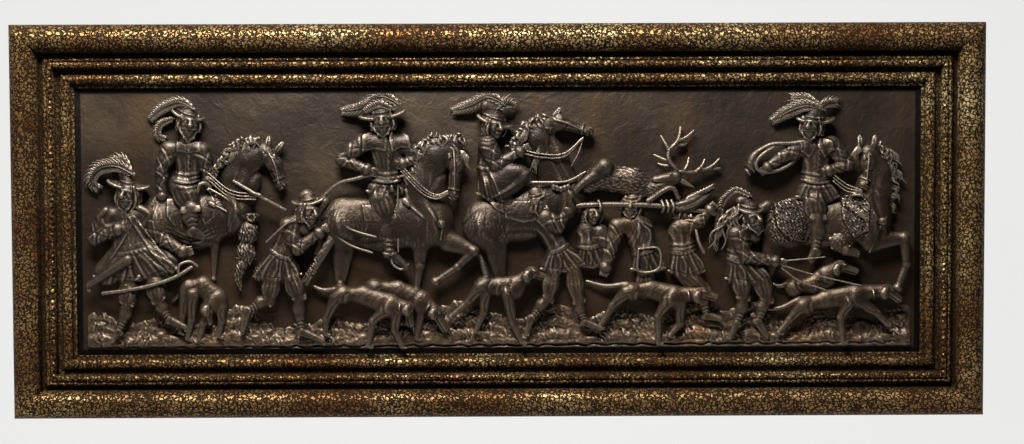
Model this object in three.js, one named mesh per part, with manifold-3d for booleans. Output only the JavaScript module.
import * as THREE from 'three';
import { ConvexGeometry } from 'three/addons/geometries/ConvexGeometry.js';
import { mergeVertices } from 'three/addons/utils/BufferGeometryUtils.js';
import Module from 'manifold-3d';

// A framed bronze relief of a hunting party, made to hang on a wall.
// The back of the top rail is at the origin, the front faces -Y and +Z is up. Sizes are in millimetres.

// The frame: its outer size, and the moulding's bands from the outer edge to the sight edge
const FRAME_LENGTH = 1200;
const FRAME_HEIGHT = 486;
const OUTER_ROLL = 35;
const HOLLOW = 6;
const THIN_BEAD = 5;
const BEAD = 8.5;
const GROOVE = 6.5;
const INNER_ROLL = 12.5;
const SIGHT_FILLET = 4.5;

// How far each band stands off the wall
const SIDE_STAND = 22;
const OUTER_ROLL_STAND = 45;
const HOLLOW_STAND = 26;
const THIN_BEAD_STAND = 30.5;
const BEAD_STAND = 31.5;
const GROOVE_STAND = 21;
const INNER_ROLL_STAND = 27;
const SIGHT_STAND = 20.5;
const ROLL_STEPS = 6;
const BEAD_STEPS = 3;
const MITRE_GAP = 0.3;

// The casting: its lap under the sight edge, its rim, its field and its thickness
const PANEL_LAP = 6;
const PANEL_CLEARANCE = 1;
const SEAT_CLEARANCE = 0.3;
const RIM_WIDTH = 6.5;
const RIM_STAND = 16;
const FIELD_STAND = 12;
const PLATE_THICKNESS = 5;

const MOULDING_WIDTH = OUTER_ROLL + HOLLOW + THIN_BEAD + BEAD + GROOVE + INNER_ROLL + SIGHT_FILLET;
const REBATE_WALL = MOULDING_WIDTH - PANEL_LAP - PANEL_CLEARANCE;
const SIGHT_LENGTH = FRAME_LENGTH - 2 * MOULDING_WIDTH;
const SIGHT_HEIGHT = FRAME_HEIGHT - 2 * MOULDING_WIDTH;
const FIELD_LENGTH = SIGHT_LENGTH - 2 * RIM_WIDTH;
const FIELD_HEIGHT = SIGHT_HEIGHT - 2 * RIM_WIDTH;
const MIDDLE_BELOW_MOUNT = FRAME_HEIGHT / 2 - REBATE_WALL / 2;

// The cartoon of the relief is squared up: 831 squares along and 258 down. A square follows the
// field's height, so the figures keep their proportions, and their middles spread with its length.
const CARTOON = { left: 86, top: 91, along: 831, down: 258 };
const SQUARE = FIELD_HEIGHT / CARTOON.down;
const SPREAD = FIELD_LENGTH / CARTOON.along;
const CARTOON_MIDDLE_X = CARTOON.left + CARTOON.along / 2;
const CARTOON_MIDDLE_Y = CARTOON.top + CARTOON.down / 2;

const wasm = await Module();
wasm.setup();

function solidOf(geometry) {
  const bare = geometry.clone();
  bare.deleteAttribute('normal');
  bare.deleteAttribute('uv');
  const merged = mergeVertices(bare, 1e-4);
  return new wasm.Manifold(new wasm.Mesh({
    numProp: 3,
    vertProperties: new Float32Array(merged.attributes.position.array),
    triVerts: new Uint32Array(merged.index.array),
  }));
}

function outerSkin(points, corners) {
  // Where forms close over a small pocket the metal fills it, so only the outermost shell is kept.
  const owner = Array.from({ length: points.length / 3 }, (_, i) => i);
  const find = (i) => {
    let top = i;
    while (owner[top] !== top) top = owner[top];
    owner[i] = top;
    return top;
  };
  for (let i = 0; i < corners.length; i += 3) {
    owner[find(corners[i + 1])] = find(corners[i]);
    owner[find(corners[i + 2])] = find(corners[i]);
  }
  const shells = new Map();
  for (let i = 0; i < corners.length; i += 3) {
    const shell = find(corners[i]);
    if (!shells.has(shell)) shells.set(shell, []);
    shells.get(shell).push(corners[i], corners[i + 1], corners[i + 2]);
  }
  return [...shells.values()].sort((a, b) => b.length - a.length)[0];
}

function geometryOf(solid) {
  const mesh = solid.getMesh();
  const geometry = new THREE.BufferGeometry();
  geometry.setAttribute('position', new THREE.BufferAttribute(mesh.vertProperties, 3));
  geometry.setIndex(outerSkin(mesh.vertProperties, mesh.triVerts));
  geometry.computeVertexNormals();
  return geometry;
}

function block(length, depth, height, x, y, z) {
  const box = new THREE.BoxGeometry(length, depth, height);
  box.translate(x, y, z);
  return solidOf(box);
}

// The moulding

function roll(from, width, low, crown, end, steps) {
  // A convex band: half an ellipse that starts at one height and ends at another.
  const points = [];
  for (let i = 0; i <= steps; i += 1) {
    const turn = Math.PI * (i / steps);
    const foot = THREE.MathUtils.lerp(low, end, i / steps);
    const rise = (crown - THREE.MathUtils.lerp(low, end, 0.5)) * Math.sin(turn);
    points.push([from + width * (0.5 - 0.5 * Math.cos(turn)), foot + rise]);
  }
  return points;
}

function mouldingProfile() {
  const hollowFrom = OUTER_ROLL;
  const thinFrom = hollowFrom + HOLLOW;
  const beadFrom = thinFrom + THIN_BEAD;
  const grooveFrom = beadFrom + BEAD;
  const innerFrom = grooveFrom + GROOVE;
  const filletFrom = innerFrom + INNER_ROLL;
  const seat = RIM_STAND + SEAT_CLEARANCE;
  return [
    [0, 0],
    ...roll(0, OUTER_ROLL, SIDE_STAND, OUTER_ROLL_STAND, HOLLOW_STAND, ROLL_STEPS),
    [thinFrom, HOLLOW_STAND],
    ...roll(thinFrom, THIN_BEAD, HOLLOW_STAND + 1, THIN_BEAD_STAND, THIN_BEAD_STAND - 2, BEAD_STEPS).slice(1),
    ...roll(beadFrom, BEAD, THIN_BEAD_STAND - 2, BEAD_STAND, GROOVE_STAND + 2, BEAD_STEPS).slice(1),
    [grooveFrom, GROOVE_STAND],
    [innerFrom, GROOVE_STAND],
    ...roll(innerFrom, INNER_ROLL, GROOVE_STAND, INNER_ROLL_STAND, SIGHT_STAND, ROLL_STEPS).slice(1),
    [filletFrom + SIGHT_FILLET, SIGHT_STAND],
    [MOULDING_WIDTH, seat],
    [REBATE_WALL, seat],
    [REBATE_WALL, 0],
  ];
}

function railGeometry(length, across) {
  // The profile is drawn as distance in from the outer edge and distance off the wall, then both ends
  // are drawn back by that distance, which cuts the mitres.
  const outline = new THREE.Shape(mouldingProfile().map(([inward, stand]) => new THREE.Vector2(inward, stand)));
  const geometry = new THREE.ExtrudeGeometry(outline, { depth: 1, steps: 1, bevelEnabled: false });
  const position = geometry.attributes.position;
  for (let i = 0; i < position.count; i += 1) {
    const inward = position.getX(i);
    const stand = position.getY(i);
    const side = position.getZ(i) < 0.5 ? -1 : 1;
    const reach = length / 2 - inward - MITRE_GAP * Math.SQRT1_2;
    position.setXYZ(i, -side * reach, -stand, across / 2 - inward);
  }
  geometry.deleteAttribute('uv');
  geometry.computeVertexNormals();
  return geometry;
}

// Forms of the relief. A joint is [squares across, squares down, squares off the field].

function thickness(radius) {
  // Large forms are flattened, as a relief flattens them.
  return Math.min(radius, 6 + (radius - 6) * 0.3);
}

const SLENDER = 5.3;
const BULKY = 18.5;

function figure(middle) {
  const forms = [];
  const place = (x, y, off) => new THREE.Vector3(
    (middle - CARTOON_MIDDLE_X) * SPREAD + (x - middle) * SQUARE,
    -(FIELD_STAND + off * SQUARE),
    (CARTOON_MIDDLE_Y - y) * SQUARE,
  );
  const root = -0.5 * PLATE_THICKNESS / SQUARE;
  function ball([x, y, off], radius) {
    // One ring of points round the front, one on the plate and a crown. Slender forms have fewer sides.
    const deep = thickness(radius);
    const points = [place(x, y, off + deep)];
    const sides = radius < SLENDER ? 3 : radius < BULKY ? 4 : 5;
    for (let i = 0; i < sides; i += 1) {
      const turn = (i / sides) * 2 * Math.PI;
      const half = turn + Math.PI / sides;
      if (sides > 3) points.push(place(x + radius * Math.sin(turn), y - radius * Math.cos(turn), off + deep * 0.4));
      points.push(place(x + radius * Math.sin(half), y - radius * Math.cos(half), root));
    }
    return points;
  }
  // A lump is the skin stretched over some balls, given as joint and radius in turn.
  function lump(...pairs) {
    const points = [];
    for (let i = 0; i < pairs.length; i += 2) points.push(...ball(pairs[i], pairs[i + 1]));
    forms.push(solidOf(new ConvexGeometry(points)));
  }
  // A limb runs through its joints and tapers from one radius to another.
  function limb(from, to, ...joints) {
    for (let i = 0; i + 1 < joints.length; i += 1) {
      const near = THREE.MathUtils.lerp(from, to, i / (joints.length - 1));
      const far = THREE.MathUtils.lerp(from, to, (i + 1) / (joints.length - 1));
      lump(joints[i], near, joints[i + 1], far);
    }
  }
  return { forms, lump, limb };
}

function person(pose) {
  const made = figure(pose.middle ?? pose.head[0]);
  const { lump, limb } = made;
  const size = pose.headSize ?? 8;
  lump(pose.head, size, ...(pose.beard ? [pose.beard, size * 0.7] : []));
  if (pose.hat) {
    const [left, right] = pose.hat.brim;
    lump(left, 3, right, 3);
    lump(pose.hat.crown, pose.hat.size);
  }
  for (const plume of pose.plumes ?? []) limb(3.6, 1.8, ...plume);
  lump(pose.chest, pose.chestSize, pose.waist, pose.waistSize);
  if (pose.skirt) lump(pose.waist, pose.waistSize, ...pose.skirt.flatMap((hem) => [hem, pose.hemSize ?? 8]));
  for (const arm of pose.arms) limb(pose.armSize ?? 6.5, 4, ...arm);
  for (const leg of pose.legs) {
    const [hip, knee, ankle, toe] = leg;
    const thick = pose.legSize ?? 9;
    limb(thick, thick * 0.75, hip, knee);
    if (ankle) limb(thick * 0.75, 4.5, knee, ankle);
    if (toe) limb(4.5, 3.5, ankle, toe);
  }
  return made;
}

function horse(pose) {
  const made = figure(pose.middle);
  const { lump, limb } = made;
  lump(pose.rump, pose.rumpSize, pose.barrel, pose.barrelSize, pose.chest, pose.chestSize);
  lump(pose.chest, pose.chestSize, pose.neck, pose.neckSize);
  lump(pose.neck, pose.neckSize, pose.poll, 10);
  lump(pose.poll, 10, pose.cheek, 9, pose.muzzle, 6);
  for (const ear of pose.ears) limb(3.5, 1.2, ...ear);
  limb(5.2, 4.2, ...pose.mane);
  for (const lock of pose.locks ?? []) limb(3, 1.6, ...lock);
  for (const leg of pose.legs) limb(leg.size ?? 8, 3.8, ...leg.joints);
  return made;
}

function hound(pose) {
  const made = figure(pose.head[0]);
  const { lump, limb } = made;
  lump(pose.hips, pose.hipSize ?? 8, pose.ribs, pose.ribSize ?? 8.5, pose.chest, pose.chestSize ?? 9);
  lump(pose.chest, 6.5, pose.head, 7);
  lump(pose.head, 7, pose.muzzle, 3.8);
  for (const leg of pose.legs) limb(4.1, 2.6, ...leg);
  if (pose.tail) limb(2.8, 1.6, ...pose.tail);
  return made;
}

const figures = [];

// Left end: a huntsman on foot with a hound, and a rider behind
const huntsman = person({
  head: [133, 191, 12], headSize: 8.5, beard: [135, 204, 14],
  hat: { brim: [[114, 179, 12], [154, 187, 12]], crown: [131, 172, 11], size: 7 },
  plumes: [
    [[128, 168, 13], [108, 163, 12], [95, 180, 8]],
    [[137, 172, 12], [124, 156, 10]],
  ],
  chest: [133, 221, 10], chestSize: 18, waist: [137, 250, 11], waistSize: 13,
  skirt: [[118, 277, 11], [162, 266, 11]], hemSize: 11,
  arms: [
    [[113, 214, 11], [100, 236, 13], [127, 226, 19]],
    [[153, 214, 11], [168, 237, 13], [190, 250, 16], [205, 246, 15]],
  ],
  legs: [
    [[133, 285, 11], [132, 300, 12], [123, 328, 11], [117, 338, 13]],
    [[160, 282, 12], [163, 297, 13], [172, 314, 12], [200, 320, 13]],
  ],
});
huntsman.limb(2.6, 2.6, [110, 289, 14], [162, 281, 18], [198, 264, 15]);
huntsman.limb(5.5, 3.6, [132, 257, 18], [93, 283, 13]);
figures.push(huntsman);

figures.push(hound({
  head: [211, 307, 11], muzzle: [213, 321, 10], hips: [192, 285, 8], ribs: [206, 284, 8], chest: [219, 297, 8],
  legs: [
    [[190, 290, 9], [186, 314, 8], [184, 331, 9]],
    [[197, 292, 11], [195, 318, 10], [191, 337, 11]],
    [[216, 302, 10], [207, 322, 10], [203, 338, 11]],
    [[224, 305, 8], [225, 320, 8], [222, 335, 9]],
  ],
  tail: [[187, 281, 9], [176, 300, 6]],
}));

const riderA = person({
  head: [195, 122, 9], beard: [196, 130, 11], middle: 195,
  hat: { brim: [[178, 108, 9], [208, 119, 10]], crown: [189, 105, 8], size: 9 },
  plumes: [
    [[181, 105, 9], [154, 115, 6]],
    [[178, 118, 8], [164, 130, 6]],
  ],
  chest: [193, 151, 7], chestSize: 15, waist: [193, 178, 8], waistSize: 12,
  arms: [
    [[174, 148, 7], [167, 167, 9], [167, 197, 10]],
    [[206, 149, 7], [211, 166, 8], [213, 177, 9]],
  ],
  legs: [[[192, 189, 9], [198, 209, 10]]], legSize: 11,
});
figures.push(riderA);

const horseA = horse({
  middle: 215,
  rump: [166, 213, 4], rumpSize: 21, barrel: [200, 222, 5], barrelSize: 26, chest: [236, 210, 6], chestSize: 22,
  neck: [246, 178, 7], neckSize: 21, poll: [268, 149, 8], cheek: [276, 163, 10], muzzle: [284, 184, 10],
  ears: [[[272, 146, 10], [274, 133, 9]], [[283, 148, 10], [289, 139, 9]]],
  mane: [[216, 173, 8], [240, 142, 10], [264, 137, 10]],
  locks: [[[240, 146, 12], [237, 163, 12]], [[252, 141, 13], [249, 158, 13]]],
  legs: [{ size: 5, joints: [[219, 240, 6], [217, 275, 5]] }],
});
horseA.limb(2.2, 2.2, [240, 179, 15], [264, 193, 17], [290, 207, 13]);
figures.push(horseA);

// A second huntsman on foot with his game bag, walking right
const gameHunter = person({
  head: [313, 209, 13], beard: [311, 218, 14],
  hat: { brim: [[297, 201, 13], [329, 198, 13]], crown: [311, 194, 12], size: 8 },
  chest: [297, 227, 11], chestSize: 15, waist: [285, 252, 11], waistSize: 13,
  skirt: [[266, 272, 11], [296, 270, 12]], hemSize: 9,
  arms: [
    [[292, 224, 14], [302, 247, 17], [327, 229, 18]],
  ],
  legs: [
    [[278, 276, 12], [273, 298, 13], [253, 308, 12], [246, 329, 12]],
    [[296, 277, 13], [303, 295, 14], [305, 328, 13], [326, 339, 14]],
  ],
});
gameHunter.limb(4.5, 3.5, [246, 329, 12], [243, 341, 13]);
gameHunter.lump([252, 232, 10], 10, [250, 253, 10], 10);
gameHunter.lump([256, 214, 10], 8);
gameHunter.limb(6, 2.5, [246, 265, 10], [243, 287, 9]);
gameHunter.limb(4.6, 4.6, [341, 230, 14], [325, 256, 15], [311, 279, 13]);
figures.push(gameHunter);

// The leader of the party on the second horse
const leader = person({
  head: [387, 118, 13], beard: [386, 127, 14],
  hat: { brim: [[364, 116, 13], [409, 112, 13]], crown: [383, 103, 12], size: 12 },
  plumes: [[[378, 98, 13], [364, 108, 11], [345, 111, 7]]],
  chest: [391, 151, 11], chestSize: 18, waist: [391, 178, 11], waistSize: 15,
  arms: [
    [[368, 141, 11], [346, 158, 12], [374, 169, 17]],
    [[411, 143, 10], [421, 158, 11], [407, 162, 17]],
  ],
  skirt: [[380, 187, 12], [404, 187, 12]], hemSize: 9,
  legs: [[[386, 198, 14], [391, 214, 15], [393, 248, 14], [409, 265, 14]]], legSize: 12,
});
leader.limb(2.4, 2, [375, 173, 15], [343, 182, 12], [325, 196, 9]);
leader.lump([367, 140, 14], 3, [391, 146, 16], 4, [410, 140, 14], 3);
figures.push(leader);

const leaderHorse = horse({
  middle: 395,
  rump: [347, 219, 8], rumpSize: 23, barrel: [385, 224, 8], barrelSize: 27, chest: [432, 220, 10], chestSize: 25,
  neck: [428, 182, 10], neckSize: 22, poll: [457, 144, 11], cheek: [460, 164, 15], muzzle: [457, 194, 15],
  ears: [[[462, 152, 16], [455, 144, 16]], [[468, 146, 13], [466, 135, 12]]],
  mane: [[411, 166, 12], [430, 139, 13], [464, 135, 13]],
  locks: [
    [[420, 150, 14], [416, 172, 13]],
    [[432, 143, 16], [428, 164, 15]],
    [[466, 150, 17], [472, 167, 16]],
  ],
  legs: [
    { size: 9, joints: [[452, 240, 12], [477, 250, 15], [461, 266, 14], [443, 278, 13]] },
    { size: 8, joints: [[424, 242, 10], [423, 265, 9], [420, 285, 9]] },
    { size: 12, joints: [[346, 240, 8], [343, 282, 7]] },
  ],
});
figures.push(leaderHorse);

figures.push(hound({
  head: [411, 307, 15], muzzle: [414, 323, 14], hips: [345, 293, 11], ribs: [366, 294, 12], chest: [393, 304, 13],
  legs: [
    [[340, 296, 12], [329, 318, 11], [328, 333, 11]],
    [[390, 308, 15], [376, 320, 14], [371, 345, 13]],
    [[400, 310, 13], [398, 330, 12], [405, 347, 12]],
  ],
  tail: [[340, 288, 12], [312, 283, 8]],
}));
figures.push(hound({
  head: [438, 311, 11], muzzle: [448, 329, 10], hips: [376, 287, 7], ribs: [400, 289, 8], chest: [422, 300, 8],
  legs: [[[424, 308, 8], [419, 338, 8]]],
}));

// The lady in a long skirt on the third horse
const lady = person({
  head: [498, 125, 12], middle: 500,
  hat: { brim: [[481, 115, 12], [514, 127, 12]], crown: [494, 106, 11], size: 12 },
  plumes: [
    [[492, 98, 12], [476, 104, 10], [456, 110, 6]],
    [[506, 107, 12], [517, 99, 9]],
  ],
  chest: [492, 147, 10], chestSize: 13, waist: [490, 166, 10], waistSize: 11,
  arms: [
    [[491, 143, 15], [499, 164, 17], [526, 149, 16]],
  ],
  skirt: [[488, 190, 11], [530, 172, 12], [512, 202, 12]], hemSize: 8,
  legs: [],
});
for (const fold of [0, 1, 2]) {
  lady.limb(2, 1.4, [532 - fold * 11, 168 + fold * 3, 19], [502 - fold * 6, 195, 18]);
}
figures.push(lady);

const ladyHorse = horse({
  middle: 530,
  rump: [487, 222, 7], rumpSize: 23, barrel: [525, 216, 7], barrelSize: 25, chest: [567, 196, 8], chestSize: 22,
  neck: [553, 158, 8], neckSize: 19, poll: [549, 126, 10], cheek: [562, 121, 13], muzzle: [591, 130, 12],
  ears: [[[543, 122, 13], [538, 112, 12]], [[556, 116, 11], [564, 105, 10]]],
  mane: [[512, 148, 10], [528, 124, 11], [546, 117, 12]],
  locks: [[[528, 130, 14], [520, 150, 13]], [[545, 140, 16], [536, 172, 14]]],
  legs: [{ size: 12, joints: [[497, 240, 8], [503, 282, 6]] }],
});
figures.push(ladyHorse);

figures.push(hound({
  head: [534, 272, 14], muzzle: [548, 276, 13], hips: [487, 284, 11], ribs: [500, 286, 12], chest: [517, 286, 13],
  hipSize: 9, ribSize: 9,
  legs: [
    [[483, 286, 13], [471, 301, 12], [453, 316, 12]],
    [[488, 292, 12], [486, 312, 11], [478, 331, 11]],
    [[510, 292, 15], [515, 322, 13], [524, 342, 13]],
  ],
  tail: [[490, 280, 12], [480, 253, 9], [456, 242, 8]],
}));

// The bearers with the stag between them
const firstBearer = person({
  head: [540, 203, 13], beard: [544, 208, 14], headSize: 7.5,
  hat: { brim: [[529, 197, 12], [549, 193, 12]], crown: [538, 191, 11], size: 8 },
  chest: [548, 222, 11], chestSize: 15, waist: [560, 247, 11], waistSize: 11,
  skirt: [[551, 266, 12], [578, 261, 12]], hemSize: 8,
  arms: [[[548, 217, 15], [560, 226, 16], [571, 207, 17]]],
  legs: [
    [[556, 272, 12], [551, 297, 13], [535, 316, 12], [528, 334, 12]],
    [[576, 270, 12], [581, 300, 13], [586, 320, 12], [603, 328, 13]],
  ], legSize: 8,
});
figures.push(firstBearer);

const backBearers = [
  person({
    head: [595, 213, 9], headSize: 7, chest: [590, 231, 7], chestSize: 13, waist: [591, 245, 8], waistSize: 12,
    skirt: [[586, 262, 8], [602, 260, 8]], hemSize: 7, arms: [[[602, 232, 9], [611, 248, 11], [607, 266, 12]]],
    legs: [],
  }),
  person({
    head: [634, 203, 11], beard: [636, 214, 12], headSize: 8,
    hat: { brim: [[626, 199, 11], [644, 197, 11]], crown: [634, 194, 10], size: 7 },
    chest: [640, 228, 9], chestSize: 17, waist: [646, 250, 10], waistSize: 13,
    skirt: [[640, 267, 9], [660, 266, 9]], hemSize: 7,
    arms: [[[619, 226, 11], [613, 248, 12], [607, 268, 13]]],
    legs: [[[650, 270, 8], [646, 292, 8]]], legSize: 9,
  }),
  person({
    head: [688, 212, 8], headSize: 6.5, chest: [682, 231, 9], chestSize: 14, waist: [684, 250, 10], waistSize: 13,
    skirt: [[680, 268, 11], [696, 268, 11]], hemSize: 10,
    arms: [[[688, 226, 11], [701, 221, 12], [712, 209, 13]]],
    legs: [[[686, 274, 10], [705, 290, 11], [708, 314, 10], [722, 319, 11]]], legSize: 9,
  }),
];
for (const fold of [0, 1.5, 3]) {
  backBearers[1].limb(1.6, 1.4, [641, 221, 18], [632 + fold * 10, 244 - Math.abs(fold - 1.5), 16]);
}
figures.push(...backBearers);

const stag = figure(640);
stag.lump([590, 181, 9], 11, [606, 172, 9], 10);
stag.limb(7, 3.5, [596, 178, 12], [606, 168, 14], [588, 184, 14], [572, 198, 12]);
stag.lump([606, 178, 8], 13, [634, 182, 9], 15);
stag.lump([634, 182, 9], 15, [654, 190, 9], 11);
stag.lump([654, 190, 9], 10, [678, 177, 11], 8);
stag.lump([678, 177, 11], 7.5, [656, 179, 12], 4.5);
stag.limb(3.4, 2.6, [650, 199, 14], [673, 188, 15], [682, 199, 13]);
stag.limb(3, 2.4, [676, 169, 12], [671, 152, 10], [681, 141, 8], [683, 129, 6]);
stag.limb(3, 2.4, [683, 171, 12], [704, 170, 10], [721, 168, 7]);
for (const [from, to] of [
  [[671, 152, 10], [663, 136, 7]], [[681, 141, 8], [696, 131, 6]],
  [[700, 170, 10], [707, 160, 7]], [[707, 169, 9], [721, 159, 6]],
]) stag.limb(2.4, 1.5, from, to);
stag.limb(3, 3, [552, 208, 12], [664, 205, 14], [712, 212, 13]);
stag.lump([702, 193, 10], 7);
figures.push(stag);

figures.push(hound({
  head: [703, 293, 15], muzzle: [717, 297, 15], hips: [633, 291, 11], ribs: [652, 289, 11], chest: [674, 296, 13],
  legs: [
    [[628, 292, 13], [614, 306, 11], [601, 327, 11]],
    [[670, 300, 15], [660, 316, 14], [660, 343, 14]],
    [[682, 302, 12], [682, 324, 11], [672, 336, 11]],
  ],
  tail: [[628, 284, 12], [588, 281, 8]],
}));

// The kennel man leaning back on his leashes
const kennelMan = person({
  head: [754, 217, 12], beard: [758, 226, 14], headSize: 8,
  hat: { brim: [[739, 208, 12], [764, 211, 13]], crown: [746, 201, 11], size: 9 },
  plumes: [[[741, 200, 12], [722, 218, 10], [715, 258, 6]]],
  chest: [741, 241, 11], chestSize: 15, waist: [739, 259, 11], waistSize: 12,
  skirt: [[735, 276, 11], [760, 276, 12]], hemSize: 9,
  arms: [
    [[737, 234, 15], [746, 256, 18], [779, 262, 18]],
  ],
  legs: [
    [[742, 276, 12], [744, 297, 13], [738, 322, 12], [731, 338, 12]],
    [[762, 276, 12], [768, 299, 12], [760, 320, 11], [768, 336, 11]],
  ], legSize: 9,
});
kennelMan.limb(1.8, 1.8, [781, 261, 18], [825, 257, 17]);
figures.push(kennelMan);

// Right end: the horn blower on the fourth horse
const hornBlower = person({
  head: [812, 125, 13], beard: [812, 134, 14], headSize: 8,
  hat: { brim: [[798, 119, 13], [834, 121, 13]], crown: [817, 112, 12], size: 9 },
  plumes: [
    [[812, 108, 12], [774, 119, 7]],
    [[808, 106, 12], [792, 97, 7]],
  ],
  chest: [817, 156, 11], chestSize: 16, waist: [816, 180, 11], waistSize: 14,
  skirt: [[806, 194, 12], [830, 194, 12]], hemSize: 9,
  arms: [
    [[832, 145, 11], [849, 165, 12], [827, 171, 17]],
    [[804, 147, 11], [784, 156, 12], [767, 168, 13]],
  ],
  legs: [[[815, 202, 14], [818, 218, 14], [816, 250, 13], [812, 260, 14]]], legSize: 11,
});
const HORN_STEPS = 7;
const hornRing = (turn) => [
  778 + 21 * Math.cos(turn) + 3 * Math.sin(turn),
  158 - 13 * Math.sin(turn) - 4 * Math.cos(turn),
  14,
];
for (let i = 0; i < HORN_STEPS; i += 1) {
  const near = (i / HORN_STEPS) * 2 * Math.PI;
  const far = ((i + 1) / HORN_STEPS) * 2 * Math.PI;
  hornBlower.lump(hornRing(near), 2.4, hornRing(far), 2.4);
}
hornBlower.limb(6, 4, [751, 168, 13], [753, 152, 12], [765, 145, 12]);
figures.push(hornBlower);

const hornHorse = horse({
  middle: 830,
  rump: [790, 222, 7], rumpSize: 24, barrel: [822, 226, 7], barrelSize: 23, chest: [868, 220, 10], chestSize: 25,
  neck: [876, 186, 10], neckSize: 19, poll: [869, 154, 12], cheek: [869, 163, 14], muzzle: [864, 185, 17],
  ears: [[[860, 147, 14], [859, 134, 13]], [[873, 148, 13], [875, 134, 12]]],
  mane: [[888, 142, 10], [901, 170, 9], [899, 206, 7]],
  locks: [[[858, 147, 17], [853, 158, 17]], [[890, 150, 12], [902, 165, 9]], [[893, 168, 12], [906, 182, 9]]],
  legs: [
    { size: 9, joints: [[872, 242, 12], [905, 238, 14], [908, 265, 12], [901, 284, 12]] },
    { size: 12, joints: [[776, 236, 7], [768, 280, 6]] },
  ],
});
figures.push(hornHorse);

figures.push(hound({
  head: [888, 291, 15], muzzle: [900, 300, 14], hips: [806, 306, 11], ribs: [827, 300, 12], chest: [856, 296, 13],
  legs: [
    [[803, 306, 13], [791, 320, 12], [780, 333, 12]],
    [[850, 302, 15], [842, 318, 14], [844, 342, 14]],
    [[864, 304, 12], [878, 314, 12], [888, 325, 12]],
  ],
  tail: [[800, 300, 12], [764, 310, 8]],
}));
figures.push(hound({
  head: [842, 268, 10], muzzle: [870, 269, 11], hips: [795, 288, 7], ribs: [815, 286, 8], chest: [828, 277, 8],
  legs: [], tail: [[790, 283, 8], [773, 284, 6]],
}));
const curlyHound = figure(842);
curlyHound.lump([841, 243, 12], 13, [843, 250, 12], 12);
figures.push(curlyHound);

// The ground: low rises along the foot of the field, with stones
const ground = figure(CARTOON_MIDDLE_X);
const GROUND_STEPS = 4;
for (let i = 0; i < GROUND_STEPS; i += 1) {
  const spread = (CARTOON.along - 16) / GROUND_STEPS * (SPREAD / SQUARE);
  const from = CARTOON_MIDDLE_X + (i - GROUND_STEPS / 2) * spread;
  const crest = 336 + 3 * Math.sin(i * 1.7);
  ground.lump([from, crest, -2], 8, [from + spread, 337 + 3 * Math.sin((i + 1) * 1.7), -2], 8,
    [from, 344, 1], 4.5, [from + spread, 344, 1], 4.5);
}
ground.lump([868, 326, 6], 8.5);
figures.push(ground);

function panelGeometry() {
  // The plate with its raised rim, then every form fused on to it.
  const length = SIGHT_LENGTH + 2 * PANEL_LAP;
  const height = SIGHT_HEIGHT + 2 * PANEL_LAP;
  const back = FIELD_STAND - PLATE_THICKNESS;
  const rim = block(length, RIM_STAND - back, height, 0, -(RIM_STAND + back) / 2, 0);
  const open = OUTER_ROLL_STAND;
  const pocket = block(FIELD_LENGTH, open, FIELD_HEIGHT, 0, -(FIELD_STAND + open / 2), 0);
  const plate = rim.subtract(pocket);
  const within = block(FIELD_LENGTH - 2 * RIM_WIDTH / 4, open * 2, FIELD_HEIGHT - 2 * RIM_WIDTH / 4, 0, 0, 0);
  const forms = figures.flatMap((made) => made.forms);
  let fused = plate;
  let group = null;
  for (const form of forms) group = group ? group.add(form) : form;
  fused = fused.add(group.intersect(within));
  return geometryOf(fused);
}

const gilt = { color: 0x6b5228, roughness: 0.45, metalness: 0.6 };
const bronze = { color: 0x2d2620, roughness: 0.38, metalness: 0.85 };

const plaque = new THREE.Group();
plaque.position.z = -MIDDLE_BELOW_MOUNT;
for (const [name, length, across, turn] of [
  ['frame_top', FRAME_LENGTH, FRAME_HEIGHT, 0],
  ['frame_right', FRAME_HEIGHT, FRAME_LENGTH, 1],
  ['frame_bottom', FRAME_LENGTH, FRAME_HEIGHT, 2],
  ['frame_left', FRAME_HEIGHT, FRAME_LENGTH, 3],
]) {
  const rail = new THREE.Mesh(railGeometry(length, across), new THREE.MeshStandardMaterial(gilt));
  rail.name = name;
  rail.rotation.y = turn * Math.PI / 2;
  plaque.add(rail);
}
const relief = new THREE.Mesh(panelGeometry(), new THREE.MeshStandardMaterial(bronze));
relief.name = 'bronze_relief';
plaque.add(relief);

export default plaque;
